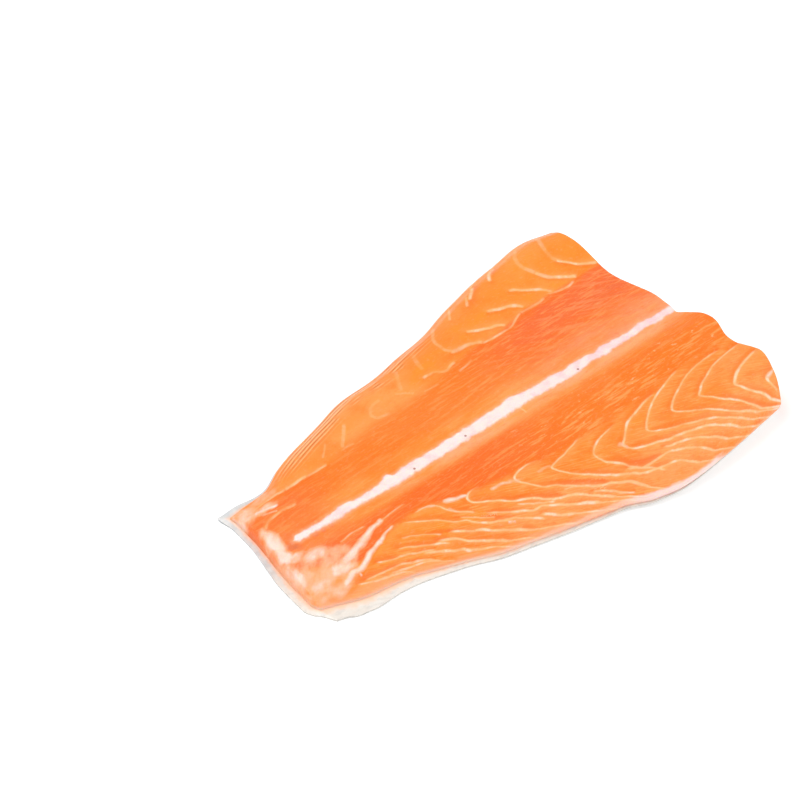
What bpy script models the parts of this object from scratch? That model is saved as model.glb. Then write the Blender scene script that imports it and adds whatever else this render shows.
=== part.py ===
"""A skin-on salmon tail piece: one thick piece of flesh on its own skin, lying skin side down.

The piece is cut straight across at its thick end (+X) and at the tail (-X). A pale line of tissue
runs along the middle of the flesh, in a shallow valley between the two loins. The skin is a thin
layer under the flesh, and reaches a little past it at the tail and along the near edge (-Y).
"""

import math

import bmesh
import bpy
from mathutils import Vector, noise

# Plan sizes, in metres. Stations run from 0 at the tail to 1 at the cut end, and places across the
# piece run from -1 at the near edge through 0 at the spine to 1 at the far edge.
LENGTH = 0.2350
TAIL_X = -0.1183
SPINE_Y = -0.0045
WIDTHS = (
    # station, near half, far half
    (0.00, 0.0326, 0.0306),
    (0.08, 0.0381, 0.0335),
    (0.14, 0.0401, 0.0410),
    (0.27, 0.0486, 0.0517),
    (0.35, 0.0557, 0.0568),
    (0.44, 0.0604, 0.0590),
    (0.50, 0.0640, 0.0623),
    (0.59, 0.0679, 0.0679),
    (0.65, 0.0745, 0.0728),
    (0.72, 0.0776, 0.0774),
    (0.80, 0.0768, 0.0816),
    (0.92, 0.0735, 0.0863),
    (1.00, 0.0704, 0.0835),
)

# How far each end stands out past its mean line, place by place. The tail's rows go on past the
# flesh, where only the skin is.
CUT_REACH = (
    (-1.00, -0.0028),
    (-0.87, 0.0018),
    (-0.69, 0.0047),
    (-0.53, 0.0030),
    (-0.44, 0.0020),
    (-0.30, 0.0042),
    (-0.20, 0.0034),
    (-0.12, 0.0006),
    (-0.04, -0.0028),
    (0.04, -0.0016),
    (0.12, -0.0016),
    (0.27, -0.0030),
    (0.50, -0.0050),
    (0.85, -0.0048),
    (1.00, -0.0065),
)
TAIL_REACH = (
    (-1.30, -0.0105),
    (-1.10, -0.0058),
    (-1.00, -0.0028),
    (-0.85, -0.0010),
    (-0.40, -0.0008),
    (0.50, -0.0026),
    (0.85, -0.0024),
    (1.10, -0.0006),
)
END_POWER = 7

# Heights of the upper surface over the table.
HEIGHTS = (
    # place, at the tail, in the middle, at the cut end
    (-1.00, 0.0026, 0.0034, 0.0115),
    (-0.90, 0.0046, 0.0106, 0.0205),
    (-0.72, 0.0062, 0.0162, 0.0248),
    (-0.50, 0.0074, 0.0166, 0.0208),
    (-0.27, 0.0078, 0.0156, 0.0234),
    (-0.10, 0.0076, 0.0142, 0.0200),
    (0.00, 0.0074, 0.0138, 0.0182),
    (0.10, 0.0076, 0.0140, 0.0184),
    (0.50, 0.0070, 0.0128, 0.0142),
    (0.77, 0.0058, 0.0130, 0.0174),
    (0.90, 0.0044, 0.0110, 0.0158),
    (1.00, 0.0028, 0.0062, 0.0105),
)
UNEVEN_HEIGHT = 0.0006
UNEVEN_EDGE = 0.0012
UNEVEN_SIZE = 0.024
FULL_HEIGHT = 0.0150
EDGE_POWER = 7

# The pale line stands a little proud along the spine.
LINE_HALF_WIDTH = 0.0042
LINE_RISE = 0.0008
LINE_POWER = 4

# Fat lines part the flesh into flakes, which swell a little between them. Each line folds back in a
# V with its point towards the tail: its outer arm slants to the side edge, and its inner arm sweeps
# along the smooth channel beside the spine.
NEAR_FLAKES = (
    # the V's point from the tail end and from the spine, and the channel's edge from the spine
    (0.0242, 0.0189, 0.0160),
    (0.0522, 0.0209, 0.0185),
    (0.0662, 0.0239, 0.0209),
    (0.0822, 0.0309, 0.0259),
    (0.1052, 0.0369, 0.0310),
    (0.1212, 0.0409, 0.0322),
    (0.1402, 0.0459, 0.0344),
    (0.1542, 0.0519, 0.0352),
    (0.1667, 0.0514, 0.0354),
    (0.1832, 0.0504, 0.0349),
    (0.1982, 0.0519, 0.0349),
    (0.2152, 0.0569, 0.0349),
    (0.2312, 0.0609, 0.0349),
)
FAR_FLAKES = (
    (0.0382, 0.0310, 0.0250),
    (0.0602, 0.0330, 0.0270),
    (0.0812, 0.0360, 0.0330),
    (0.1062, 0.0450, 0.0390),
    (0.1312, 0.0530, 0.0430),
    (0.1452, 0.0550, 0.0440),
    (0.1612, 0.0600, 0.0450),
    (0.1782, 0.0610, 0.0455),
    (0.1942, 0.0630, 0.0460),
    (0.2092, 0.0650, 0.0460),
    (0.2242, 0.0670, 0.0460),
)
ARM_SLANT = 0.8
ARM_BEND = 20.0
ARM_SWEEP = 0.013
ARM_END = 0.95
FLAKE_RISE = 0.0006
FLAKE_REACH = 0.010

# The rounded sides. The shoulder is a share of the way out along and across the piece, and the wall
# goes on from it to the foot in steps: (share of what is left outwards, share of the way down).
SHOULDER = (0.986, 0.955)
WALL = ((0.42, 0.12), (0.82, 0.34), (1.0, 0.62), (0.9, 0.86), (0.72, 1.0))
UNDER = ((0.94, 0.90), (0.87, 0.78))

# The skin, the gap that keeps the two solids apart, how far the skin's side edges lift off the table,
# and how far they reach past the flesh.
SKIN_THICKNESS = 0.0010
SKIN_EDGE_THICKNESS = 0.0007
GAP = 0.0004
LIFTS = (
    # station, near edge, far edge
    (0.00, 0.0003, 0.0008),
    (0.20, 0.0003, 0.0014),
    (0.50, 0.0008, 0.0022),
    (0.65, 0.0020, 0.0028),
    (0.80, 0.0048, 0.0034),
    (0.92, 0.0062, 0.0038),
    (1.00, 0.0060, 0.0034),
)
SKIRTS = (
    # station, near edge, far edge
    (0.00, 0.0086, 0.0040),
    (0.04, 0.0116, 0.0038),
    (0.08, 0.0090, 0.0022),
    (0.14, 0.0058, 0.0010),
    (0.20, 0.0042, 0.0006),
    (0.27, 0.0026, 0.0003),
    (0.50, 0.0014, 0.0),
    (0.65, 0.0004, -0.0004),
    (0.80, -0.0006, -0.0006),
    (1.00, -0.0010, -0.0008),
)
TAIL_SKIRTS = (
    # place, how far the skin reaches past the flesh at the tail
    (-1.00, 0.0064),
    (-0.80, 0.0038),
    (-0.30, 0.0040),
    (0.00, 0.0035),
    (0.50, 0.0030),
    (1.00, 0.0030),
)
CUT_SKIRT = -0.0008

# How finely each solid is divided, along and across. The skin has every second row of the flesh.
FLESH_ROWS = (72, 40)
SKIN_ROWS = (36, 20)
CROWDING = 0.045

FLESH_COLOUR = (0.90, 0.27, 0.06, 1.0)
FLESH_ROUGHNESS = 0.35
SKIN_COLOUR = (0.42, 0.45, 0.48, 1.0)
SKIN_ROUGHNESS = 0.3
SHARP_ANGLE = math.radians(50)


def curve(rows, at, column=1):
    """The smooth curve through one column of these rows that never overshoots them, read at one place."""
    places = [row[0] for row in rows]
    values = [row[column] for row in rows]
    at = min(max(at, places[0]), places[-1])
    steps = [b - a for a, b in zip(places, places[1:])]
    rises = [(b - a) / h for a, b, h in zip(values, values[1:], steps)]
    slopes = [rises[0]]
    for before, after in zip(rises, rises[1:]):
        slopes.append(0.0 if before * after <= 0 else 2 * before * after / (before + after))
    slopes.append(rises[-1])
    i = max(k for k in range(len(steps)) if places[k] <= at)
    h, t = steps[i], (at - places[i]) / steps[i]
    start = values[i] * (1 + 2 * t) + h * slopes[i] * t
    end = values[i + 1] * (3 - 2 * t) + h * slopes[i + 1] * (t - 1)
    return start * (1 - t) ** 2 + end * t**2


def by_side(rows, s, v):
    """A value at station s on the side of place v: the near column or the far one."""
    return curve(rows, s, 2 if v > 0 else 1)


def crowded(share):
    """Rows from 0 to 1 that crowd towards both ends."""
    return share - CROWDING * math.sin(2 * math.pi * share)


def plan(s, v):
    """The place in plan of station s and place v across the piece."""
    cut_reach = curve(CUT_REACH, v) * max(s, 0.0) ** END_POWER
    tail_reach = curve(TAIL_REACH, v) * max(1 - s, 0.0) ** END_POWER
    x = TAIL_X + s * LENGTH + cut_reach - tail_reach
    y = SPINE_Y + v * by_side(WIDTHS, s, v)
    wobble = noise.noise(Vector((x - TAIL_X, y - SPINE_Y, 0.0)) / UNEVEN_SIZE) * UNEVEN_EDGE
    return x, y + v * min(abs(v), 1.0) ** EDGE_POWER * wobble


def flake_swell(rows, along, out):
    """How far the flesh swells here: 0 on a fat line and away from the points of the Vs, up to 1."""
    turn, channel = curve(rows, along), curve(rows, along, 2)
    past = out - turn
    if past > 0:
        back = past * (ARM_SLANT + ARM_BEND * past)
    else:
        back = -ARM_SWEEP * math.log(1 - min(-past / (turn - channel), ARM_END))
    number = curve([(row[0], k) for k, row in enumerate(rows)], along - back)
    return math.sin(math.pi * (number % 1)) * math.exp(-((past / FLAKE_REACH) ** 2))


def upper_height(s, v):
    """Height of the flesh's upper surface: the three sections, blended along the piece."""
    tail, middle, cut = (curve(HEIGHTS, v, column) for column in (1, 2, 3))
    z = tail * (2 * s - 1) * (s - 1) + middle * 4 * s * (1 - s) + cut * s * (2 * s - 1)
    x, y = plan(s, v)
    along, out = x - TAIL_X, abs(y - SPINE_Y)
    swell = noise.noise(Vector((along, y - SPINE_Y, 1.0)) / UNEVEN_SIZE) * UNEVEN_HEIGHT
    swell += FLAKE_RISE * flake_swell(FAR_FLAKES if v > 0 else NEAR_FLAKES, along, out)
    line = LINE_RISE * math.exp(-((out / LINE_HALF_WIDTH) ** LINE_POWER))
    return z + swell * min(1.0, z / FULL_HEIGHT) + line


def skin_lift(s, v):
    """How far the skin's lower face lies over the table: not at all, but near the side edges."""
    flat = UNDER[-1][1]
    return by_side(LIFTS, s, v) * max(0.0, (abs(v) - flat) / (1 - flat)) ** 2


def drawn_in(s, v, shares):
    """The station and place that lie these shares of the way out from the middle of the piece."""
    along, across = shares
    return 0.5 + (s - 0.5) * along, v * across


def wall_shares(out):
    """Shares of the way out for a place on the wall, from the shoulder (0) to the outline (1)."""
    return tuple(share + (1 - share) * out for share in SHOULDER)


def flesh_point(s, v, level):
    """A point of the flesh: the upper surface (level 0), the wall below it, then the under side."""
    if level == 0:
        s, v = drawn_in(s, v, SHOULDER)
        return *plan(s, v), upper_height(s, v)
    if level <= len(WALL):
        out, down = WALL[level - 1]
        top = upper_height(*drawn_in(s, v, SHOULDER))
        s, v = drawn_in(s, v, wall_shares(out))
        foot = skin_lift(s, v) + SKIN_THICKNESS + GAP
        return *plan(s, v), top + (foot - top) * down
    s, v = drawn_in(s, v, UNDER[level - len(WALL) - 1])
    return *plan(s, v), skin_lift(s, v) + SKIN_THICKNESS + GAP


def skirted(s, v):
    """The station and place of the skin's edge, which reaches past the flesh or stops short of it."""
    tail = curve(TAIL_SKIRTS, v)
    station = s * (1 + (tail + CUT_SKIRT) / LENGTH) - tail / LENGTH
    return station, v * (1 + by_side(SKIRTS, s, v) / by_side(WIDTHS, s, v))


def skin_point(s, v, level):
    """A point of the skin: rings outwards on its lower face, then inwards on its upper face."""
    rings = (*reversed(UNDER), wall_shares(WALL[-1][0]))
    if level < len(rings):
        s, v = drawn_in(s, v, rings[level])
        return *plan(s, v), skin_lift(s, v)
    if level < len(rings) + 2:
        s, v = skirted(s, v)
        return *plan(s, v), skin_lift(s, v) + SKIN_EDGE_THICKNESS * (level - len(rings))
    s, v = drawn_in(s, v, rings[2 * len(rings) + 1 - level])
    return *plan(s, v), skin_lift(s, v) + SKIN_THICKNESS


def layered(name, rows, levels, point, colour, roughness, open_face):
    """A closed solid: a grid of stations and places, then rings drawn out from its edge level by level.

    While it is built, a vertex holds its station, place and level. At the end each moves to its point.
    """
    bm = bmesh.new()
    bmesh.ops.create_grid(bm, x_segments=rows[0], y_segments=rows[1], size=1.0)
    for vert in bm.verts:
        side = math.copysign(crowded(abs(vert.co.y)), vert.co.y)
        vert.co = (crowded(vert.co.x / 2 + 0.5), side, 0.0)
    rim = [edge for edge in bm.edges if edge.is_boundary]
    if not open_face:
        bmesh.ops.dissolve_faces(bm, faces=bm.faces[:], use_verts=False)
        rim = bm.edges[:]
    for level in range(1, levels + 1):
        made = bmesh.ops.extrude_edge_only(bm, edges=rim)["geom"]
        for item in made:
            if isinstance(item, bmesh.types.BMVert):
                item.co.z = level
        rim = [item for item in made if isinstance(item, bmesh.types.BMEdge)]
        rim = [edge for edge in rim if edge.verts[0].co.z == edge.verts[1].co.z == level]
    bmesh.ops.contextual_create(bm, geom=rim)
    for vert in bm.verts:
        vert.co = point(vert.co.x, vert.co.y, round(vert.co.z))
    bmesh.ops.recalc_face_normals(bm, faces=bm.faces[:])
    if bm.calc_volume(signed=True) < 0:
        bmesh.ops.reverse_faces(bm, faces=bm.faces[:])
    mesh = bpy.data.meshes.new(name)
    bm.to_mesh(mesh)
    bm.free()
    mesh.shade_smooth()
    mesh.set_sharp_from_angle(angle=SHARP_ANGLE)
    mesh.materials.append(finish(name, colour, roughness))
    solid = bpy.data.objects.new(name, mesh)
    bpy.context.scene.collection.objects.link(solid)
    return solid


def finish(name, colour, roughness):
    material = bpy.data.materials.new(name)
    material.use_nodes = True
    shader = material.node_tree.nodes["Principled BSDF"]
    shader.inputs["Base Color"].default_value = colour
    shader.inputs["Roughness"].default_value = roughness
    shader.inputs["Metallic"].default_value = 0.0
    return material


def clear_scene():
    for old in list(bpy.data.objects):
        bpy.data.objects.remove(old)


clear_scene()
layered("flesh", FLESH_ROWS, len(WALL) + len(UNDER), flesh_point, FLESH_COLOUR, FLESH_ROUGHNESS, True)
layered("skin", SKIN_ROWS, 2 * len(UNDER) + 3, skin_point, SKIN_COLOUR, SKIN_ROUGHNESS, False)
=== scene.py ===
"""The looks of a raw, skin-on salmon tail piece, lying skin side down on a plain white floor.

Two pieces are modelled: the flesh, finely enough to carry its relief, and the skin below it. Both keep
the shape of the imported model. Sizes are in metres: along the piece from its tail line, across it from
the spine, and up from the table. Colours are named as they look on a screen and turned to linear light.
"""

import math

import bmesh
import bpy
import numpy as np
from mathutils import Matrix, Vector, noise


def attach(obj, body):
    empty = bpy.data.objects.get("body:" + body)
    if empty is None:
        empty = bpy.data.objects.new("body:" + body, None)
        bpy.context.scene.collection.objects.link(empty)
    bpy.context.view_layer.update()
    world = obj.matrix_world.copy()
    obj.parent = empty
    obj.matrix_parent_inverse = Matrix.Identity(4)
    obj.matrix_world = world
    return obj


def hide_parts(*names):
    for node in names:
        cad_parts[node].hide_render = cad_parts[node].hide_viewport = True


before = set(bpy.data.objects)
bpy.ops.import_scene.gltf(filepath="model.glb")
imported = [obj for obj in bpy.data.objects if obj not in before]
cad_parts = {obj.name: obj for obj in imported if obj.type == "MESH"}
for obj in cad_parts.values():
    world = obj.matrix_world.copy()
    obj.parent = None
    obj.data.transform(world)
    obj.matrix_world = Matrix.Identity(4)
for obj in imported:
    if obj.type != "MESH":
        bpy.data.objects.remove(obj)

MM = 0.001

# Plan sizes. Stations run from 0 at the tail to 1 at the cut end, and places across the piece run
# from -1 at the near edge through 0 at the spine to 1 at the far edge.
LENGTH = 0.2350
TAIL_X = -0.1183
SPINE_Y = -0.0045
WIDTHS = (
    # station, near half, far half
    (0.00, 0.0326, 0.0306),
    (0.08, 0.0381, 0.0335),
    (0.14, 0.0401, 0.0410),
    (0.27, 0.0486, 0.0517),
    (0.35, 0.0557, 0.0568),
    (0.44, 0.0604, 0.0590),
    (0.50, 0.0640, 0.0623),
    (0.59, 0.0679, 0.0679),
    (0.65, 0.0745, 0.0728),
    (0.72, 0.0776, 0.0774),
    (0.80, 0.0768, 0.0816),
    (0.92, 0.0735, 0.0863),
    (1.00, 0.0704, 0.0835),
)
CUT_REACH = (
    # place, how far the cut end stands out past its mean line
    (-1.00, -0.0028),
    (-0.87, 0.0018),
    (-0.69, 0.0047),
    (-0.53, 0.0030),
    (-0.44, 0.0020),
    (-0.30, 0.0042),
    (-0.20, 0.0034),
    (-0.12, 0.0006),
    (-0.04, -0.0028),
    (0.04, -0.0016),
    (0.12, -0.0016),
    (0.27, -0.0030),
    (0.50, -0.0050),
    (0.85, -0.0048),
    (1.00, -0.0065),
)
TAIL_REACH = (
    # place, how far the tail end stands out; its rows go on to where only the skin is
    (-1.30, -0.0105),
    (-1.10, -0.0058),
    (-1.00, -0.0028),
    (-0.85, -0.0010),
    (-0.40, -0.0008),
    (0.50, -0.0026),
    (0.85, -0.0024),
    (1.10, -0.0006),
)
END_POWER = 7

# Heights of the upper surface over the table.
HEIGHTS = (
    # place, at the tail, in the middle, at the cut end
    (-1.00, 0.0026, 0.0034, 0.0115),
    (-0.90, 0.0046, 0.0106, 0.0205),
    (-0.72, 0.0062, 0.0162, 0.0248),
    (-0.50, 0.0074, 0.0166, 0.0208),
    (-0.27, 0.0078, 0.0156, 0.0234),
    (-0.10, 0.0076, 0.0142, 0.0200),
    (0.00, 0.0074, 0.0138, 0.0182),
    (0.10, 0.0076, 0.0140, 0.0184),
    (0.50, 0.0070, 0.0128, 0.0142),
    (0.77, 0.0058, 0.0130, 0.0174),
    (0.90, 0.0044, 0.0110, 0.0158),
    (1.00, 0.0028, 0.0062, 0.0105),
)
UNEVEN_HEIGHT = 0.0006
UNEVEN_EDGE = 0.0012
UNEVEN_SIZE = 0.024
FULL_HEIGHT = 0.0150
EDGE_POWER = 7

# The rounded sides, and the skin below them.
SHOULDER = (0.986, 0.955)
WALL = (
    # step, share of what is left outwards, share of the way down
    (0, 0.0, 0.0),
    (1, 0.42, 0.12),
    (2, 0.82, 0.34),
    (3, 1.0, 0.62),
    (4, 0.9, 0.86),
    (5, 0.72, 1.0),
)
UNDER = ((0.94, 0.90), (0.87, 0.78))
SKIN_THICKNESS = 0.0010
SKIN_EDGE_THICKNESS = 0.0007
OVERLAP = 0.0001
LIFTS = (
    # station, how far the skin's near and far edges lift off the table
    (0.00, 0.0003, 0.0008),
    (0.20, 0.0003, 0.0014),
    (0.50, 0.0008, 0.0022),
    (0.65, 0.0020, 0.0028),
    (0.80, 0.0048, 0.0034),
    (0.92, 0.0062, 0.0038),
    (1.00, 0.0060, 0.0034),
)
SKIRTS = (
    # station, how far the skin reaches past the flesh at the near and far edges
    (0.00, 0.0086, 0.0040),
    (0.04, 0.0116, 0.0038),
    (0.08, 0.0090, 0.0022),
    (0.14, 0.0058, 0.0010),
    (0.20, 0.0042, 0.0006),
    (0.27, 0.0026, 0.0003),
    (0.50, 0.0014, 0.0),
    (0.65, 0.0004, -0.0004),
    (0.80, -0.0006, -0.0006),
    (1.00, -0.0010, -0.0008),
)
TAIL_SKIRTS = (
    # place, how far the skin reaches past the flesh at the tail
    (-1.00, 0.0064),
    (-0.80, 0.0038),
    (-0.30, 0.0040),
    (0.00, 0.0035),
    (0.50, 0.0030),
    (1.00, 0.0030),
)
CUT_SKIRT = -0.0008

# How finely each piece is divided, and how many rings its sides have.
FLESH_ROWS = (300, 226)
FLESH_WALL_RINGS = 12
SKIN_ROWS = (190, 124)
SKIRT_RINGS = 5
SHARP_ANGLE = math.radians(50)

# Thin fat lines part the flesh into flakes. Each row gives a line's half width in millimetres, how
# strong it is, and the places that it runs through: along the piece and across from the spine, in
# millimetres.
FAT_LINES = (
    # Near side: the wide V lines, from the cut end to the tail, each from its inner end outwards.
    (0.65, 1.0, (236, -47.9), (231.7, -48.7), (227.5, -49.6), (221, -52), (216.8, -54.8), (214.8, -56.9),
     (216.9, -59.7), (219.7, -62.8), (223, -65.6), (226.3, -68.1), (229.5, -71.5), (234, -77)),
    (0.60, 0.9, (234, -60.8), (230, -61.8), (230.3, -64.4), (232, -67.5)),
    (0.50, 1.0, (236, -38.2), (230, -38.7), (224.2, -39.6), (219.2, -40.4), (215, -41.8), (210, -44.2),
     (204.2, -46.7), (200.8, -49.2), (197.7, -51.7), (198.7, -53.7), (201.3, -56.4), (204.1, -59.2),
     (207.7, -61.4), (210.8, -63.3), (213.6, -65.8), (216.9, -68.1), (220.2, -69.9), (226, -72.6),
     (236, -78)),
    (0.46, 0.85, (226, -35.3), (220, -35.2), (213.3, -35.8), (207.5, -36.7), (201.7, -38.5),
     (197.5, -40.4), (192.5, -42.9), (187.5, -45.8), (183.6, -49), (183, -51), (185.2, -53.6),
     (188, -55.8), (191.9, -58), (195.2, -59.7), (198.6, -61.7), (201.3, -63.6), (205.2, -65.8),
     (208, -67.2), (211.9, -68.6), (216.3, -69.9), (223, -72.5), (234, -78)),
    (0.46, 0.85, (202, -32.9), (196.7, -34.2), (191.7, -35.8), (186.7, -37.5), (182.5, -39.2),
     (176.7, -42.5), (171.7, -46.2), (167.5, -50), (166.4, -52), (168.6, -54.2), (172.4, -56.1),
     (176.9, -57.8), (181.3, -59.2), (185.2, -60.6), (189.1, -61.9), (195.8, -64.4), (200.2, -66.7),
     (204.7, -68.6), (208, -69.8), (215, -72.8), (226, -78)),
    (0.52, 0.9, (184, -36.6), (177.5, -37.9), (172.5, -39.4), (168.3, -40.8), (163.3, -42.5), (160, -45),
     (155.8, -48.7), (152.6, -51.3), (153, -53.6), (155.2, -56.1), (158, -57.1), (161.9, -58.3),
     (165.8, -59.4), (170.2, -60.8), (174.7, -61.4), (180.2, -62.5), (184.7, -63.6), (189.1, -64.7),
     (192.4, -66.1), (196.9, -68.3), (201.3, -70.3), (207, -73), (218, -78.4)),
    (0.50, 0.9, (165.8, -62.5), (170.2, -63.7), (174.1, -64.3), (178, -64.9), (180.8, -65.8),
     (184.7, -67.5), (188.6, -69.4), (192.4, -71.1), (198, -73.6), (208, -78.6)),
    (0.46, 0.85, (157, -39.8), (150, -41.2), (145.8, -42.4), (142.5, -44.1), (139.9, -46.4),
     (139.6, -48.8), (140.8, -52.2), (142.4, -54.2), (144.7, -56.1), (146.9, -58.1), (148.6, -60.5),
     (151.3, -62.8), (154.1, -64.2), (160.2, -64.7), (165.8, -65), (170.2, -66.1), (176.9, -68.3),
     (181.3, -70.3), (187, -73.4), (198, -79)),
    (0.46, 0.9, (141, -35.3), (137, -36.6), (133.3, -37.4), (129.2, -38.7), (125, -39.3), (121, -40.6),
     (121.6, -43), (123.6, -46.1), (125.8, -48.6), (128, -50.6), (131.9, -53.1), (135.8, -55.6),
     (139.7, -58.1), (143.6, -60.6), (148, -63.3), (150.8, -65.3), (154.7, -66.9), (163.6, -68.7),
     (168, -69.7), (171.3, -71.2), (177, -73.8), (189, -79)),
    (0.46, 0.9, (118, -33.3), (112.5, -32.8), (108.3, -33.2), (104.6, -35), (105.2, -38), (107.4, -41.1),
     (109.7, -44.4), (112.4, -46.9), (115.8, -48.3), (119.1, -50.6), (123.6, -53.3), (128, -55.8),
     (132.4, -58.3), (136.9, -60), (140.2, -61.7), (144.1, -63.9), (148, -67.2), (152, -71), (158, -77)),
    (0.46, 0.95, (88, -28.2), (84.5, -28.6), (82.4, -30.2), (82.6, -33), (86, -35.8), (89.5, -38),
     (94.1, -41.7), (96.9, -43.9), (100.2, -45.3), (104.1, -47.2), (107.4, -49.4), (110.8, -51.7),
     (114.7, -53.6), (119.1, -55), (123, -56.7), (126.9, -59.2), (131.3, -61.7), (135.8, -63.9),
     (139.1, -66.4), (143, -69.5), (150, -75)),
    (0.42, 0.85, (60, -22.3), (65, -22.6), (68.3, -23.8), (70.3, -26.3), (71.7, -29.1), (73.3, -31.3),
     (75.6, -33.8), (78.3, -35.8), (80.5, -38)),
    # Near side: the finer lines between them.
    (0.40, 0.82, (147, -60.5), (152, -63.4), (156.5, -66.3), (161, -69.8)),
    (0.44, 0.92, (83, -40.6), (86.7, -43), (89.4, -44.7), (94.1, -47.4), (98, -49.2), (101.9, -51.1),
     (106.3, -51.9), (109.7, -53.9), (113.6, -55.8), (117.4, -57.8), (121.3, -59.4), (125.8, -61.4),
     (130.2, -63.3), (135, -66), (139, -68.6), (146, -74)),
    (0.44, 0.92, (104, -54), (108.6, -56.7), (111.9, -58.6), (115.8, -60.3), (119.7, -62.2), (127, -65.8),
     (136, -71)),
    (0.36, 0.82, (86, -46.3), (91.3, -48.6), (98, -52.2), (100.8, -53.9), (104.5, -56)),
    (0.44, 0.92, (66, -38.6), (68.9, -40.2), (71.7, -41.9), (75.6, -44.1), (78.9, -45.8), (82.8, -48.6),
     (86.7, -50.8), (91.7, -53.3), (95.2, -55), (99.1, -56.9), (103, -58.6), (110, -61.8), (120, -67)),
    (0.44, 0.92, (60, -38.7), (63.3, -40.2), (66.7, -41.9), (70, -44.7), (73.3, -46.9), (77.2, -49.1),
     (81.1, -51.3), (85.6, -53.6), (92, -57), (97, -60), (104, -64)),
    (0.42, 0.92, (52, -38.7), (55, -40.2), (58.9, -42.2), (63.3, -44.7), (67.2, -46.3), (70, -48.3),
     (73.3, -49.9), (78.9, -52.4), (85, -56.6), (92, -61)),
    (0.42, 0.92, (53, -23.2), (55.6, -24.7), (58.9, -26.9), (62.2, -29.1), (65.6, -31.3), (68.9, -34.7),
     (71.7, -36.9), (75, -38.8), (77.2, -41.3), (80, -43.6), (83.9, -45.8), (87.8, -47.4), (92, -49.6)),
    (0.36, 0.82, (44, -31.8), (46.7, -33), (51.1, -35.2), (55, -37.2), (59, -39.2), (64, -42)),
    (0.34, 0.77, (33, -31.2), (39.4, -33.6), (45, -35.2), (48.9, -36.9), (53.3, -38.6), (57, -40.4)),
    (0.34, 0.77, (25, -34.3), (31.1, -35.2), (36.7, -36.1), (41.7, -36.9), (45.6, -38.6), (50, -40),
     (55, -43)),
    (0.34, 0.72, (21, -34.1), (27, -36.2), (33.3, -37.7), (38.3, -38.8), (42.2, -40.2), (45, -42.4)),
    (0.32, 0.72, (36, -37.4), (43.9, -39.4), (49.4, -40.8), (53.3, -42.4), (57.8, -45.2), (62, -48)),
    (0.32, 0.67, (118, -52), (124.1, -53.9), (130.2, -56.7), (135, -59.2)),
    (0.36, 0.77, (129, -58.8), (132.4, -60.3), (136.3, -62.5), (140, -64.8), (145, -68.6)),
    (0.32, 0.72, (97, -45.8), (102, -48.5), (106, -50.5), (112, -53.5)),
    (0.32, 0.67, (74, -36), (78, -39.2), (82, -42.5), (86, -44.8)),
    (0.32, 0.62, (48, -28.6), (53, -31), (58, -34.2), (63, -37.4)),
    # Far side: the lines of the cut end, from their upper ends to the channel.
    (1.00, 0.26, (219, 82), (215.5, 76), (213, 69), (212, 63), (214.2, 59.2)),
    (0.62, 0.85, (212.6, 61), (214.2, 59.2), (216.7, 56.7), (220, 53.3), (224.2, 50.8), (228.5, 48.6)),
    (1.00, 0.30, (204, 81), (199, 75), (196.6, 68), (197.8, 63), (200, 59.2)),
    (0.85, 0.85, (199, 60.8), (200, 58.2), (201.7, 55.3), (204.2, 53.3), (207.5, 51.3), (210, 50),
     (214.6, 47.6)),
    (0.70, 0.70, (181, 59), (182.9, 57.9), (186.7, 55.4), (190.8, 52.5), (194.2, 50.4), (198, 46.2)),
    (0.75, 0.75, (163.6, 54), (165.8, 53.8), (170, 52), (174.2, 50.8), (177.5, 49.2), (180.2, 46.4)),
    (0.70, 0.80, (147.5, 50), (150.6, 48.5), (154.2, 47), (158.3, 45.4), (162.5, 44.6), (165.6, 42.3)),
    (0.80, 0.34, (140, 65), (136.3, 60.5), (133.8, 57), (132.5, 53.3), (132.5, 49.9), (133.3, 46.4),
     (136, 44)),
    (0.80, 0.60, (134, 44.6), (136.7, 43.7), (141.7, 43.3), (145.8, 42.4), (150, 40.3)),
    (0.60, 0.52, (113.5, 39.2), (115.8, 39.5), (120, 39.1), (123.3, 37), (125.8, 36.6), (128.3, 37.8),
     (132, 38.8)),
    (0.45, 0.30, (129, 32.4), (130.8, 32.8), (135, 33.7), (139, 34.9)),
    (0.40, 0.24, (109, 32.6), (112, 32.2), (117, 32)),
    (0.85, 0.20, (101, 39.6), (102.1, 41.2), (103.8, 44.5), (105.4, 47.8), (107.6, 52)),
    (0.55, 0.22, (98, 40), (101, 37.8), (105, 34.5)),
    (0.75, 0.26, (91, 41.4), (88.3, 41.2), (85, 40.3), (82.9, 38.3), (81.6, 36.2), (82.3, 33.7),
     (84.2, 32.2), (89, 32)),
    (0.75, 0.30, (60.4, 28.6), (61.6, 30.8), (64.5, 34), (67, 37), (69.4, 40)),
    (0.50, 0.24, (59, 27.6), (62, 28.2), (66, 27.6)),
    (0.45, 0.30, (50, 29.6), (53, 32.6), (56, 36)),
    (0.90, 0.22, (117, 43.6), (117.4, 47), (118.4, 51), (121, 56)),
    (0.55, 0.55, (147.6, 61.6), (150, 65), (152.6, 68.4), (155, 71.6)),
    (0.55, 0.50, (159.6, 63.5), (162, 67), (164.6, 70.4)),
    (0.75, 0.80, (164, 67), (166.6, 69.6), (169.6, 72.2), (172, 75)),
    (0.75, 0.80, (179.4, 70.6), (181.4, 73.6), (184.2, 76.7), (187.6, 79.6)),
    (0.60, 0.55, (171, 75), (173.6, 78), (176.6, 81)),
    (0.60, 0.50, (187, 80), (189.6, 83.6), (191, 86)),
    # Far side: the torn line where the channel ends.
    (0.45, 0.60, (149, 40), (155, 39.4), (160, 39.6), (166.7, 40), (170, 41.6), (173.4, 43.4),
     (176.7, 44.6)),
    (0.55, 0.50, (176, 44.5), (181.7, 44.4), (187.5, 44.6), (191.7, 45.2)),
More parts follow.
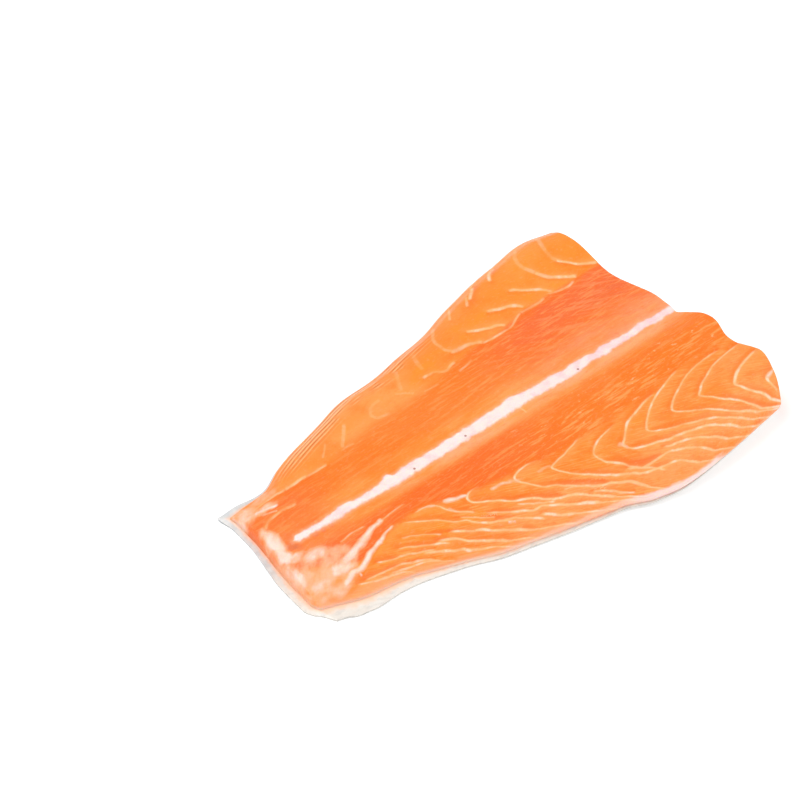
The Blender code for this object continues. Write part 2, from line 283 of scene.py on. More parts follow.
    (0.50, 0.50, (195, 46.4), (197.5, 45.6), (200, 45), (204, 44.6), (207.5, 44.8), (211, 46)),
    # Both sides of the spine: a few thin strands of fat in the channels.
    (0.45, 0.55, (4.5, 20.6), (7, 23.6), (10, 25.5), (18, 26.5), (28, 26.1)),
    (0.60, 0.80, (27, 26.1), (32, 25.9), (35.5, 26.3), (38.6, 26)),
    (0.45, 0.60, (38, 25.8), (43, 25.4), (49, 25.5)),
    (0.50, 0.50, (7.5, 12.6), (9.6, 14.8), (12, 16), (18, 16.8), (26, 16)),
    (0.40, 0.50, (27, -14), (33.3, -13), (40, -13.5)),
    (0.40, 0.50, (44, -16.4), (50, -15.6), (60, -14.8)),
    (0.35, 0.60, (134.4, -4), (134.8, -6), (134.6, -8.4)),
)
LINE_REACH = 7.0
LINE_SETS = "abc"
LINE_WANDER, LINE_WANDER_SIZE = 0.22, 0.0035
TONE_AND_SHADE_REACH = 3.0
# How the lines lean and bend towards the spine, down into the meat, and lean towards the cut end.
LINE_LEAN = 4.0
LINE_BEND = 500.0
END_LEAN = 0.5

# How far from the spine, along the piece, the smooth channels beside it end.
CHANNELS = (
    # along, near side, far side
    (0.010, 0.0160, 0.0220),
    (0.030, 0.0270, 0.0260),
    (0.048, 0.0225, 0.0255),
    (0.061, 0.0215, 0.0285),
    (0.072, 0.0250, 0.0300),
    (0.082, 0.0285, 0.0315),
    (0.100, 0.0320, 0.0320),
    (0.115, 0.0345, 0.0335),
    (0.130, 0.0365, 0.0370),
    (0.145, 0.0375, 0.0400),
    (0.160, 0.0370, 0.0405),
    (0.180, 0.0355, 0.0450),
    (0.200, 0.0330, 0.0455),
    (0.230, 0.0320, 0.0475),
)

# How softly they end, on both sides, and how much more softly on the far side of the tail half.
NEAR_SOFTNESS, FAR_SOFTNESS = 0.0022, 0.0012
TAIL_SOFTNESS = 0.0030

# The pale line of tissue along the spine: its edges from the spine, along the piece.
PALE_LINE = (
    # along, near edge, far edge
    (0.0128, -0.0006, 0.0004),
    (0.0150, -0.0024, 0.0020),
    (0.0200, -0.0025, 0.0017),
    (0.0280, -0.0028, 0.0013),
    (0.0345, -0.0031, 0.0020),
    (0.0385, -0.0030, 0.0027),
    (0.0430, -0.0029, 0.0022),
    (0.0455, -0.0030, 0.0012),
    (0.0580, -0.0037, 0.0013),
    (0.0615, -0.0039, 0.0026),
    (0.0650, -0.0041, 0.0037),
    (0.0670, -0.0042, 0.0018),
    (0.0750, -0.0042, 0.0026),
    (0.0850, -0.0038, 0.0022),
    (0.0950, -0.0041, 0.0027),
    (0.1080, -0.0036, 0.0028),
    (0.1180, -0.0040, 0.0034),
    (0.1300, -0.0041, 0.0036),
    (0.1345, -0.0038, 0.0047),
    (0.1400, -0.0036, 0.0034),
    (0.1500, -0.0039, 0.0030),
    (0.1600, -0.0040, 0.0033),
    (0.1650, -0.0040, 0.0020),
    (0.1700, -0.0040, 0.0027),
    (0.1780, -0.0028, 0.0024),
    (0.1830, -0.0036, 0.0014),
    (0.1880, -0.0038, 0.0029),
    (0.1950, -0.0026, 0.0022),
    (0.2050, -0.0034, 0.0016),
    (0.2120, -0.0023, 0.0028),
    (0.2200, -0.0036, 0.0022),
    (0.2260, -0.0024, 0.0023),
    (0.2320, -0.0034, 0.0024),
)
PALE_LINE_RISE = 0.0006
PALE_LINE_TRIM = 0.0004
RAGGED_EDGE, RAGGED_SIZE = 0.00045, 0.0028
# The rest of the upper surface's relief: the grooves of the fat lines, with their half width in
# millimetres, the steps beside them, the strands of muscle, its broad lumps and the film.
GROOVE_DEPTH, GROOVE_HALF = 0.00030, 1.1
STEP_DEPTH = 0.00022
STRAND_HEIGHT = 0.00011
LUMP_HEIGHT = 0.00018
FILM_HEIGHT = 0.00022


def curve(rows, at, column=1):
    """The smooth curve through one column of these rows that never overshoots them, at many places."""
    rows = np.asarray(rows, float)
    places, values = rows[:, 0], rows[:, column]
    at = np.clip(at, places[0], places[-1])
    steps = np.diff(places)
    rises = np.diff(values) / steps
    product = rises[:-1] * rises[1:]
    total = np.where(product > 0, rises[:-1] + rises[1:], 1.0)
    inner = np.where(product > 0, 2 * product / total, 0.0)
    slopes = np.concatenate([rises[:1], inner, rises[-1:]])
    i = np.clip(np.searchsorted(places, at, side="right") - 1, 0, len(steps) - 1)
    h = steps[i]
    t = (at - places[i]) / h
    start = values[i] * (1 + 2 * t) + h * slopes[i] * t
    end = values[i + 1] * (3 - 2 * t) + h * slopes[i + 1] * (t - 1)
    return start * (1 - t) ** 2 + end * t**2


def by_side(rows, at, side):
    """A value from the far column, where the side is over 0, or from the near one."""
    return np.where(side > 0, curve(rows, at, 2), curve(rows, at, 1))


def ease(value, low, high):
    """0 below low, 1 above high, and a smooth step between; the other way round if low is the larger."""
    t = np.clip((value - low) / (high - low), 0, 1)
    return t * t * (3 - 2 * t)


def lumps(x, y, size, seed=0.0, stretch=1.0):
    """Smooth noise from about -1 to 1 over places in plan, with lumps of this size, longer along X."""
    across = zip((x / (size * stretch)).tolist(), (y / size).tolist())
    return np.array([noise.noise(Vector((a, b, seed))) for a, b in across])


def plan(s, v):
    """The place in plan of station s and place v across the piece."""
    cut_reach = curve(CUT_REACH, v) * np.maximum(s, 0) ** END_POWER
    tail_reach = curve(TAIL_REACH, v) * np.maximum(1 - s, 0) ** END_POWER
    x = TAIL_X + s * LENGTH + cut_reach - tail_reach
    y = SPINE_Y + v * by_side(WIDTHS, s, v)
    wobble = lumps(x - TAIL_X, y - SPINE_Y, UNEVEN_SIZE) * UNEVEN_EDGE
    return x, y + v * np.minimum(np.abs(v), 1) ** EDGE_POWER * wobble


def smooth_path(points):
    """A line's points with four more between each two, on the smooth curve that runs through them."""
    points = np.array(points, float)
    run = np.vstack([2 * points[0] - points[1], points, 2 * points[-1] - points[-2]])
    t = np.linspace(0, 1, 5, endpoint=False)[:, None]
    path = []
    for a, b, c, d in zip(run, run[1:], run[2:], run[3:]):
        path.append(b + 0.5 * t * (c - a + t * (2 * a - 5 * b + 4 * c - d + t * (3 * (b - c) + d - a))))
    return np.vstack([*path, points[-1:]])


def near_line(x, y, path):
    """How far each place lies from a path, to its left or right, across it, and how far along it."""
    start, step = path[:-1], np.diff(path, axis=0)
    length = np.hypot(step[:, 0], step[:, 1])
    to_x, to_y = x[:, None] - start[:, 0], y[:, None] - start[:, 1]
    share = np.clip((to_x * step[:, 0] + to_y * step[:, 1]) / length**2, 0, 1)
    gap_x, gap_y = to_x - share * step[:, 0], to_y - share * step[:, 1]
    gap = np.hypot(gap_x, gap_y)
    k = np.arange(len(x)), gap.argmin(axis=1)
    left = np.sign(step[:, 0] * to_y - step[:, 1] * to_x)[k]
    travelled = (np.cumsum(length) - length + share * length)[k]
    return gap[k], left, gap_y[k], travelled / length.sum()


def close_by(x, y, path, reach):
    """Which places lie in the box that reaches this far round a path."""
    low, high = path.min(axis=0) - reach, path.max(axis=0) + reach
    return np.flatnonzero((x > low[0]) & (x < high[0]) & (y > low[1]) & (y < high[1]))


def room_beside(path, others):
    """How close a path comes to the nearest of these others."""
    gaps = [np.hypot(*(path[:, None] - other[None]).reshape(-1, 2).T).min() for _, _, other in others]
    return min(gaps, default=99.0)


def sets_of_lines():
    """The fat lines shared out in sets, so that lines that run close together lie in different ones."""
    sets = [[] for _ in LINE_SETS]
    for half_width, strength, *points in FAT_LINES:
        path = smooth_path(points)
        roomier = max(sets, key=lambda others: room_beside(path, others))
        roomier.append((half_width, strength, path))
    return sets


def fat_lines(along, side, lines):
    """Each place's nearest line, in millimetres: its distance, side, half width, strength, and how
    strongly a place lies on the spine side (over 0) or the other side (under 0), which sets the step
    beside the line and its painted shade and light.
    """
    drift = lumps(along, side, LINE_WANDER_SIZE, 21.0) * LINE_WANDER
    x, y = along / MM + drift, side / MM + drift
    gap = np.full_like(x, LINE_REACH)
    left, width, fat, tone_and_shade = np.ones_like(x), np.full_like(x, 0.4), np.zeros_like(x), np.zeros_like(x)
    for half_width, strength, path in lines:
        here = close_by(x, y, path, LINE_REACH)
        distance, hand, across, share = near_line(x[here], y[here], path)
        closer = distance < gap[here]
        here = here[closer]
        distance, hand, across, share = (values[closer] for values in (distance, hand, across, share))
        gap[here], left[here], width[here] = distance, hand, half_width
        fat[here] = strength * ease(share, -0.01, 0.06) * ease(share, 1.01, 0.94)
        turned = -np.sign(y[here]) * across / np.maximum(distance, 0.4)
        tone_and_shade[here] = turned * np.exp(-distance / TONE_AND_SHADE_REACH) * strength
    return gap, left * gap, width, fat, tone_and_shade


def pale_line_depth(along, side):
    """How far inside the pale line's edge a place lies; less than 0 outside it."""
    ragged = lumps(along, side, RAGGED_SIZE, 3.0) * RAGGED_EDGE
    inside = np.where(side > 0, curve(PALE_LINE, along, 2) - side, side - curve(PALE_LINE, along, 1))
    start = along - PALE_LINE[0][0]
    return np.minimum(inside + ragged - PALE_LINE_TRIM, start)


def relief(along, side, marks):
    """The fine relief of the upper surface."""
    dips = (np.exp(-((marks["gap_" + k] / GROOVE_HALF) ** 2)) * marks["fat_" + k] for k in LINE_SETS)
    groove = -GROOVE_DEPTH * sum(dips)
    step = -STEP_DEPTH * marks["tone_and_shade"]
    fibres = lumps(along, side, 0.0016, 7.0, stretch=9.0) * STRAND_HEIGHT * marks["fibre"]
    broad = lumps(along, side, 0.009, 8.0, stretch=1.6) * LUMP_HEIGHT
    pale = ease(marks["pale_line"], -0.8, 1.2) * (1 + 0.35 * lumps(along, side, 0.005, 9.0))
    film = ease(marks["film"], 0.25, 0.75) * FILM_HEIGHT
    return groove + step + fibres + broad + PALE_LINE_RISE * pale + film


# White film at the tail, and torn fat elsewhere. Streaks: half width at both ends in millimetres, how
# strong, and their places in millimetres. Patches: how strong, the middle, and the half length and width.
FILM_STREAKS = (
    (2.3, 1.0, 0.95, (18, -23.4), (25, -22.8), (29.2, -21.5), (35, -19.7), (38.3, -18), (42.5, -16.8),
     (47, -15.9)),
    (1.3, 1.0, 1.0, (18, -30.8), (25.6, -29.6), (30, -28.1), (33.9, -26.4), (36.7, -25.5), (40, -24.4)),
    (0.9, 0.5, 0.8, (39, -24.7), (44.4, -22.7), (48, -21.4)),
    (0.7, 0.4, 1.0, (20, -30), (23.6, -30.6), (25, -32.2)),
    (1.0, 0.6, 0.9, (10, 23.2), (14, 22.7), (19, 21.4)),
    (0.7, 0.5, 0.6, (12, 20.6), (15, 19), (17, 18.2)),
    (1.1, 0.7, 0.85, (74, -25.8), (78, -27), (82.6, -29.2)),
    (0.9, 0.6, 0.65, (94, -33.6), (99, -34.6), (104, -35.8)),
    (1.3, 1.0, 0.60, (102.4, -35), (104.4, -37.4)),
    (0.8, 0.6, 0.55, (63, -22.1), (66.1, -23), (69, -24.4)),
    (0.7, 0.5, 0.45, (72.6, -30.6), (75.6, -33.8)),
    (1.0, 0.7, 0.55, (151.4, -50.4), (153, -53.2)),
    (0.8, 0.6, 0.50, (115, -39.1), (121, -39.8)),
    (0.8, 0.6, 0.75, (231, -61.4), (235, -60.6)),
    (0.8, 0.6, 0.50, (200, 58), (204, 53.6)),
    (1.6, 1.0, 0.50, (187, 78.6), (191, 82.4), (197, 84.6)),
    (1.2, 0.8, 0.45, (136.5, 43.9), (143, 43.3)),
    (0.5, 0.4, 0.80, (89.8, -49.4), (92.2, -50)),
)
STREAK_REACH = 3
FILM_WANDER, FILM_WANDER_SIZE = 1.1, 0.005
FILM_PATCHES = (
    (1.0, (6.0, 5.0), (3.6, 9.0)),
    (0.95, (4.6, -4.5), (3.4, 6.0)),
    (0.8, (7.5, -8.2), (5.0, 2.6)),
    (0.72, (3.0, -15.0), (3.2, 10.5)),
    (0.50, (12.0, -21.0), (14.0, 13.5)),
    (0.46, (23.0, -18.0), (6.0, 5.0)),
    (0.70, (14.5, -12.0), (7.0, 4.0)),
    (0.62, (7.0, -27.5), (9.0, 6.0)),
    (0.78, (20.0, -25.0), (6.5, 4.0)),
    (0.60, (16.0, -31.5), (9.0, 3.0)),
    (0.66, (3.6, 26.0), (8.0, 6.5)),
    (0.60, (13.0, 23.0), (7.0, 2.6)),
    (0.42, (18.0, 29.5), (8.0, 3.0)),
)


def film_over(along, side):
    """How much white film lies on the flesh: torn streaks and thin patches."""
    x = along / MM + lumps(along, side, FILM_WANDER_SIZE, 11.0) * FILM_WANDER
    y = side / MM + lumps(along, side, FILM_WANDER_SIZE, 12.0) * FILM_WANDER
    cover = np.zeros_like(x)
    for first, last, strength, *points in FILM_STREAKS:
        path = smooth_path(points)
        here = close_by(x, y, path, STREAK_REACH)
        distance, _, _, share = near_line(x[here], y[here], path)
        width = first + (last - first) * share
        cover[here] = np.maximum(cover[here], strength * ease(distance / width, 2.1, 0.1))
    for strength, (a, b), (reach_a, reach_b) in FILM_PATCHES:
        reach = np.hypot((x - a) / reach_a, (y - b) / reach_b)
        cover = np.maximum(cover, strength * ease(reach, 1.5, 0.4))
    return cover


def marks_on_flesh(along, side, edge_gap, depth, height):
    """The marks that the flesh's relief and finish follow, by name."""
    marks = {"tone_and_shade": 0.0}
    for k, lines in zip(LINE_SETS, sets_of_lines()):
        leaned = side * (1 + LINE_LEAN * depth + LINE_BEND * depth**2)
        gap, off, width, fat, tone_and_shade = fat_lines(along - END_LEAN * depth, leaned, lines)
        marks |= {"gap_" + k: gap, "off_" + k: off, "wide_" + k: width, "fat_" + k: fat}
        marks["tone_and_shade"] = marks["tone_and_shade"] + tone_and_shade
    past_channel = np.abs(side) - by_side(CHANNELS, along, side)
    far_softness = FAR_SOFTNESS + TAIL_SOFTNESS * ease(along, 0.16, 0.08)
    softness = np.where(side > 0, far_softness, NEAR_SOFTNESS)
    in_loin = ease(past_channel / softness, -1.0, 1.0)
    return marks | {
        "fibre": 1 - in_loin,
        "pale_line": pale_line_depth(along, side) / MM,
        "film": film_over(along, side),
        "along": along,
        "side": side,
        "edge": edge_gap / MM,
        "depth": depth / MM,
        "height": height / MM,
    }


def drawn_in(s, v, shares):
    """The station and place that lie these shares of the way out from the middle of the piece."""
    along, across = shares
    return 0.5 + (s - 0.5) * along, v * across


def drawn_under(s, v, step):
    """The station and place on the underside, from its outer ring (0) to its inner one (1)."""
    step = np.clip(step, 0, 1)
    return drawn_in(s, v, tuple(a + (b - a) * step for a, b in zip(*UNDER)))


def wall_shares(out):
    """Shares of the way out for places on the wall, from the shoulder (0) to the outline (1)."""
    return tuple(share + (1 - share) * out for share in SHOULDER)


def upper_height(s, v):
    """Height of the flesh's upper surface, without its relief: three sections, blended along the piece."""
    tail, middle, cut = (curve(HEIGHTS, v, column) for column in (1, 2, 3))
    z = tail * (2 * s - 1) * (s - 1) + middle * 4 * s * (1 - s) + cut * s * (2 * s - 1)
    x, y = plan(s, v)
    swell = lumps(x - TAIL_X, y - SPINE_Y, UNEVEN_SIZE, 1.0) * UNEVEN_HEIGHT
    return z + swell * np.minimum(1.0, z / FULL_HEIGHT)


def skin_lift(s, v):
    """How far the skin's lower face lies over the table: not at all, but near the side edges."""
    flat = UNDER[-1][1]
    return by_side(LIFTS, s, v) * np.maximum(0.0, (np.abs(v) - flat) / (1 - flat)) ** 2


def shape_flesh(s, v, level):
    """Where the flesh's vertices lie, and the marks that they carry."""
    wall_step = np.clip(level / FLESH_WALL_RINGS, 0, 1) * WALL[-1][0]
    below = level > FLESH_WALL_RINGS
    out_share, down = curve(WALL, wall_step, 1), curve(WALL, wall_step, 2)
    top_s, top_v = drawn_in(s, v, SHOULDER)
    flare = ease(s, 0.75, 0.35) * (wall_step > 3)
    at_s, at_v = drawn_in(s, v, wall_shares(out_share + (1 - out_share) * flare))
    under_s, under_v = drawn_under(s, v, level - FLESH_WALL_RINGS - 1)
    at_s, at_v = np.where(below, under_s, at_s), np.where(below, under_v, at_v)
    x, y = plan(at_s, at_v)
    top = upper_height(top_s, top_v)
    foot = skin_lift(at_s, at_v) + SKIN_THICKNESS - OVERLAP
    z = np.where(below, foot, top + (foot - top) * down)
    along, side = x - TAIL_X, y - SPINE_Y
    half_width = by_side(WIDTHS, at_s, at_v)
    depth, height = np.maximum(top - z, 0), np.where(below, 0, z - foot)
    marks = marks_on_flesh(along, side, (1 - np.abs(at_v)) * half_width, depth, height)
    raised = relief(along, side, marks) * (1 - down) * ~below
    return x, y, z + raised, marks


def skirted(s, v):
    """The station and place of the skin's edge, which reaches past the flesh or stops short of it."""
    tail = curve(TAIL_SKIRTS, v)
    station = s * (1 + (tail + CUT_SKIRT) / LENGTH) - tail / LENGTH
    return station, v * (1 + by_side(SKIRTS, s, v) / by_side(WIDTHS, s, v))


def shape_skin(s, v, level):
    """Where the skin's vertices lie: a lower face, an edge, then rings inwards on the upper face."""
    edge_s, edge_v = skirted(s, v)
    foot_s, foot_v = drawn_in(s, v, wall_shares(WALL[-1][1]))
    inwards = np.clip((level - 1) / SKIRT_RINGS, 0, 1)
    at_s, at_v = edge_s + (foot_s - edge_s) * inwards, edge_v + (foot_v - edge_v) * inwards
    under_s, under_v = drawn_under(s, v, level - SKIRT_RINGS - 2)
    below = level > SKIRT_RINGS + 1
    at_s, at_v = np.where(below, under_s, at_s), np.where(below, under_v, at_v)
    x, y = plan(at_s, at_v)
    lift_s, lift_v = s + (foot_s - s) * inwards, v + (foot_v - v) * inwards
    lift_s, lift_v = np.where(below, under_s, lift_s), np.where(below, under_v, lift_v)
    thickness = SKIN_EDGE_THICKNESS + (SKIN_THICKNESS - SKIN_EDGE_THICKNESS) * inwards
    z = skin_lift(lift_s, lift_v) + np.where(level == 0, 0.0, thickness)
    marks = {
        "outer": (level == 0).astype(float),
        "inwards": inwards,
        "side": y - SPINE_Y,
    }
    return x, y, z, marks


def stand(name, data):
    """A new object in the scene, made of this mesh, lamp or camera."""
    made = bpy.data.objects.new(name, data)
    bpy.context.scene.collection.objects.link(made)
    return made


def piece(name, rows, levels, shape, finish, slot):
    """A closed piece: a grid of stations and places, then rings drawn out from its edge level by level.

    While it is built, a vertex holds its station, place and level. At the end each moves to its point.
    """
    bm = bmesh.new()
    bmesh.ops.create_grid(bm, x_segments=rows[0], y_segments=rows[1], size=1.0)
    to_stations = Matrix.Translation((0.5, 0, 0)) @ Matrix.Diagonal((0.5, 1, 1, 1))
    bmesh.ops.transform(bm, matrix=to_stations, verts=bm.verts)
    rim = [edge for edge in bm.edges if edge.is_boundary]
    for level in range(1, levels + 1):
        made = bmesh.ops.extrude_edge_only(bm, edges=rim)["geom"]
        for item in made:
            if isinstance(item, bmesh.types.BMVert):
                item.co.z = level
        rim = [item for item in made if isinstance(item, bmesh.types.BMEdge)]
        rim = [edge for edge in rim if edge.verts[0].co.z == edge.verts[1].co.z == level]
    bmesh.ops.contextual_create(bm, geom=rim)
    mesh = bpy.data.meshes.new(name)
    bm.to_mesh(mesh)
    held = np.empty(len(mesh.vertices) * 3)
    mesh.vertices.foreach_get("co", held)
    s, v, level = held.reshape(-1, 3).T
    x, y, z, marks = shape(s, v, np.round(level))
    mesh.vertices.foreach_set("co", np.stack([x, y, z], axis=1).ravel())
    for mark, values in marks.items():
        layer = mesh.attributes.new(mark, "FLOAT", "POINT")
        layer.data.foreach_set("value", values.astype(np.float32))
    bm.clear()
    bm.from_mesh(mesh)
    bmesh.ops.recalc_face_normals(bm, faces=bm.faces[:])
    if bm.calc_volume(signed=True) < 0:
        bmesh.ops.reverse_faces(bm, faces=bm.faces[:])
    bm.to_mesh(mesh)
    bm.free()
    mesh.shade_smooth()
    mesh.set_sharp_from_angle(angle=SHARP_ANGLE)
    mesh.materials.append(finish)
    made_piece = stand(name, mesh)
    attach(made_piece, "root")
    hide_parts(slot)


def shade(red, green, blue):
    """A colour as it looks on a screen, from 0 to 255, turned to linear light."""
    screen = [value / 255 for value in (red, green, blue)]
    return (*(c / 12.92 if c <= 0.04045 else ((c + 0.055) / 1.055) ** 2.4 for c in screen), 1.0)


class Finish:
    """A surface's finish in the making. Most methods add nodes and give back the socket they end in."""

    def __init__(self, name):
        self.material = bpy.data.materials.new(name)
        self.material.use_nodes = True
        self.tree = self.material.node_tree
        self.shader = self.tree.nodes["Principled BSDF"]
        self.place = self.tree.nodes.new("ShaderNodeTexCoord").outputs["Object"]
        self.colour = None

    def feed(self, socket, value):
        """Sets a socket to a number or colour, or links it to another socket."""
        if isinstance(value, bpy.types.NodeSocket):
            self.tree.links.new(value, socket)
        else:
            socket.default_value = value

    def work(self, operation, *values):
        node = self.tree.nodes.new("ShaderNodeMath")
        node.operation = operation
        for socket, value in zip(node.inputs, values):
            self.feed(socket, value)
        return node.outputs[0]

    def mark(self, name):
        """One of the marks that the piece's vertices carry."""
        node = self.tree.nodes.new("ShaderNodeAttribute")
        node.attribute_name = name
        return node.outputs["Fac"]

    def scaled_place(self, size, stretch, turn=0.0):
        node = self.tree.nodes.new("ShaderNodeMapping")
        node.vector_type = "TEXTURE"
        self.feed(node.inputs["Vector"], self.place)
        node.inputs["Rotation"].default_value = (0, 0, math.radians(turn))
        node.inputs["Scale"].default_value = [size * share for share in stretch]
        return node.outputs[0]

    def grain(self, size, stretch=(1, 1, 1), detail=3.0, seed=0.0, turn=0.0):
        """Soft noise around a half, with lumps of this size, stretched along each axis and turned."""
        node = self.tree.nodes.new("ShaderNodeTexNoise")
        node.noise_dimensions = "4D"
        self.feed(node.inputs["Vector"], self.scaled_place(size, stretch, turn))
        node.inputs["W"].default_value = seed
        node.inputs["Scale"].default_value = 1.0
        node.inputs["Detail"].default_value = detail
        return node.outputs["Fac"]

    def ease(self, value, low, high):
        """0 at low and 1 at high with a smooth step between, or the other way round."""
        node = self.tree.nodes.new("ShaderNodeMapRange")
        node.interpolation_type = "SMOOTHSTEP"
        self.feed(node.inputs["Value"], value)
        self.feed(node.inputs["From Min"], low)
        self.feed(node.inputs["From Max"], high)
        return node.outputs["Result"]

    def times(self, first, *rest):
        for value in rest:
            first = self.work("MULTIPLY", first, value)
        return first

    def plus(self, first, *rest):
        for value in rest:
            first = self.work("ADD", first, value)
        return first

    def size(self, value):
        """How far a value is from 0."""
        return self.work("ABSOLUTE", value)

    def rest(self, share):
        """What a share leaves of 1."""
        return self.work("SUBTRACT", 1.0, share)

    def sway(self, reach, *size, **grain):
        """Soft noise around 0, in lumps as grain makes them, times this reach."""
        return self.times(self.plus(self.grain(*size, **grain), -0.5), reach)

    def coat(self, under, share, over):
        """One colour laid over another by a share."""
        node = self.tree.nodes.new("ShaderNodeMix")
        node.data_type = "RGBA"
        self.feed(node.inputs["Factor"], share)
        self.feed(node.inputs[6], under)
        self.feed(node.inputs[7], over)
        return node.outputs[2]

    def lay(self, over, *shares):
        """Lays a colour over the surface's colour so far, by the product of these shares."""
        self.colour = self.coat(self.colour, self.times(*shares), over)

    def bump(self, height, distance):
        """Makes the surface look uneven: this much higher where the height is 1 than where it is 0."""
        node = self.tree.nodes.new("ShaderNodeBump")
        self.feed(node.inputs["Height"], height)
        node.inputs["Distance"].default_value = distance
        node.inputs["Strength"].default_value = 0.9
        self.feed(self.shader.inputs["Normal"], node.outputs["Normal"])

    def settle(self, **sockets):
        """Sets the shader's own sockets, named in lower case with underscores."""
        for name, value in sockets.items():
            self.feed(self.shader.inputs[name.replace("_", " ").title().replace("Ior", "IOR")], value)
        return self.material


BRIGHT_ORANGE = shade(252, 136, 48)
PEACH_ORANGE = shade(253, 154, 80)
DEEP_ORANGE = shade(249, 112, 14)
RED_ORANGE = shade(238, 90, 18)
GOLDEN_ORANGE = shade(249, 142, 34)
MUTED_RED = shade(232, 102, 50)
STRAND_PALE = shade(253, 168, 96)
BAND_PALE = shade(249, 140, 84)
FAT_LINE = shade(254, 196, 142)
PALE_FAT = shade(253, 218, 188)
PEACH_HAZE = shade(253, 170, 122)
PINK_REFLECTION = shade(246, 150, 116)
PALE_TISSUE = shade(246, 224, 220)
PINK_TISSUE = shade(240, 206, 208)
WHITE_FILM = shade(248, 220, 208)
THIN_FILM = shade(249, 176, 134)
PALE_RIM = shade(254, 222, 204)
DARK_MEAT = shade(206, 112, 80)
BROWN_EDGE = shade(176, 92, 54)
BLOOD_SPOT = shade(150, 84, 60)
# Where the pale line has small dark spots, along the piece and from the spine, and their size.
LINE_SPOTS = ((0.0762, -0.0019), (0.1052, -0.0014), (0.1702, -0.0024), (0.0110, -0.0026))
SPOT_SIZE = 0.0006
# Faint brown painted shadow round the pale line's tail end and beside its near edge: where, how large and
# how strong.
BROWN_SHADOWS = (
    ((0.0105, -0.0020), 0.0026, 0.40),
    ((0.0125, -0.0042), 0.0018, 0.30),
    ((0.0220, -0.0034), 0.0014, 0.35),
    ((0.0260, -0.0035), 0.0013, 0.35),
    ((0.0300, -0.0038), 0.0012, 0.30),
    ((0.0120, 0.0035), 0.0030, 0.16),
)
SHADOW_BROWN = shade(190, 104, 78)
FLESH_BUMP, SKIN_BUMP = 0.0004, 0.0002


def spot_share(make, along, side, centre, radius):
    """1 in a small round spot, falling to 0 at its edge."""
    off_along = make.work("SUBTRACT", along, centre[0])
    off_side = make.work("SUBTRACT", side, centre[1])
    square = make.plus(make.times(off_along, off_along), make.times(off_side, off_side))
    return make.ease(make.work("SQRT", square), 1.4 * radius, 0.5 * radius)


def muscle_colour(make, along, side, fibre):
    """The orange of the meat itself: broad patches, darker by the channels, and long strands of muscle."""
    broad = make.grain(0.032, (1.4, 1, 1))
    patchy = make.grain(0.009, (1.6, 1, 1), detail=4.0, seed=2.0)
    loin = make.rest(fibre)
    make.colour = BRIGHT_ORANGE
    make.lay(PEACH_ORANGE, make.ease(broad, 0.44, 0.66), 0.80)
    make.lay(DEEP_ORANGE, make.ease(patchy, 0.50, 0.68), 0.40)
    make.lay(GOLDEN_ORANGE, make.ease(patchy, 0.46, 0.30), loin, 0.55)

    golden_far = make.times(make.ease(side, 0.040, 0.060), make.ease(along, 0.120, 0.200))
    golden_near = make.times(make.ease(along, 0.085, 0.050), make.ease(side, -0.018, -0.024))
    make.lay(GOLDEN_ORANGE, make.work("MAXIMUM", golden_far, golden_near), 0.50)

    channel = make.times(make.ease(make.size(side), 0.006, 0.016), fibre)
    make.lay(DEEP_ORANGE, channel, 0.72)
    deepest = make.times(make.ease(side, -0.008, -0.013), make.ease(along, 0.160, 0.100), fibre)
    make.lay(RED_ORANGE, deepest, 0.55)
    tail_end = make.times(make.ease(along, 0.050, 0.022), fibre)
    make.lay(MUTED_RED, tail_end, 0.45)
    far_end = make.times(make.ease(along, 0.120, 0.180), make.ease(side, 0.012, 0.030), fibre)
    make.lay(MUTED_RED, far_end, 0.80)


def strands(make, along, side, fibre, depth):
    """Wavy strands of muscle: along the channels, slanting at the far cut end and in the near loin."""
    fibre = make.times(fibre, make.ease(depth, 2.5, 0.4))
    fine = make.grain(0.00070, (11, 1, 1), seed=4.0, turn=-3)
    coarse = make.grain(0.0016, (9, 1, 1), detail=4.0, seed=6.0, turn=4)
    mixed = make.plus(make.times(fine, 0.4), make.times(coarse, 0.6))
    ropy = make.times(make.ease(side, -0.015, -0.024), make.ease(along, 0.080, 0.130), 0.45)
    far = make.times(make.ease(side, 0.004, 0.020), make.ease(along, 0.060, 0.150), 0.20)
    reach = make.times(make.plus(0.30, make.work("MAXIMUM", ropy, far)), fibre)
    make.lay(STRAND_PALE, make.ease(mixed, 0.50, 0.59), reach, 0.80)
    make.lay(DEEP_ORANGE, make.ease(mixed, 0.48, 0.40), reach, 0.60)
    vein = make.ease(make.size(make.plus(coarse, -0.55)), 0.014, 0.002)
    make.lay(STRAND_PALE, vein, ropy, fibre, 0.45)

    band = make.grain(0.0021, (13, 1, 1), seed=21.0, turn=-25)
    thread = make.grain(0.0009, (16, 1, 1), detail=2.0, seed=22.0, turn=-20)
    slanted = make.plus(make.times(band, 0.75), make.times(thread, 0.25))
    where = make.times(make.ease(along, 0.120, 0.170), make.ease(side, 0.006, 0.020), fibre)
    make.lay(BAND_PALE, make.ease(slanted, 0.50, 0.62), where, 0.62)
    make.lay(MUTED_RED, make.ease(slanted, 0.48, 0.38), where, 0.45)

    hair = make.grain(0.00060, (15, 1, 1), seed=26.0, turn=-23)
    loin = make.times(make.rest(fibre), make.ease(side, -0.020, -0.035))
    make.lay(STRAND_PALE, make.ease(hair, 0.50, 0.62), loin, 0.48)
    make.lay(RED_ORANGE, make.ease(hair, 0.47, 0.36), loin, 0.24)

    fleck = make.ease(make.grain(0.0021, (1.5, 1, 1), detail=2.0, seed=23.0), 0.64, 0.72)
    spread = make.times(make.ease(side, -0.008, -0.014), make.ease(along, 0.100, 0.140), fibre)
    make.lay(FAT_LINE, fleck, spread, 0.50)


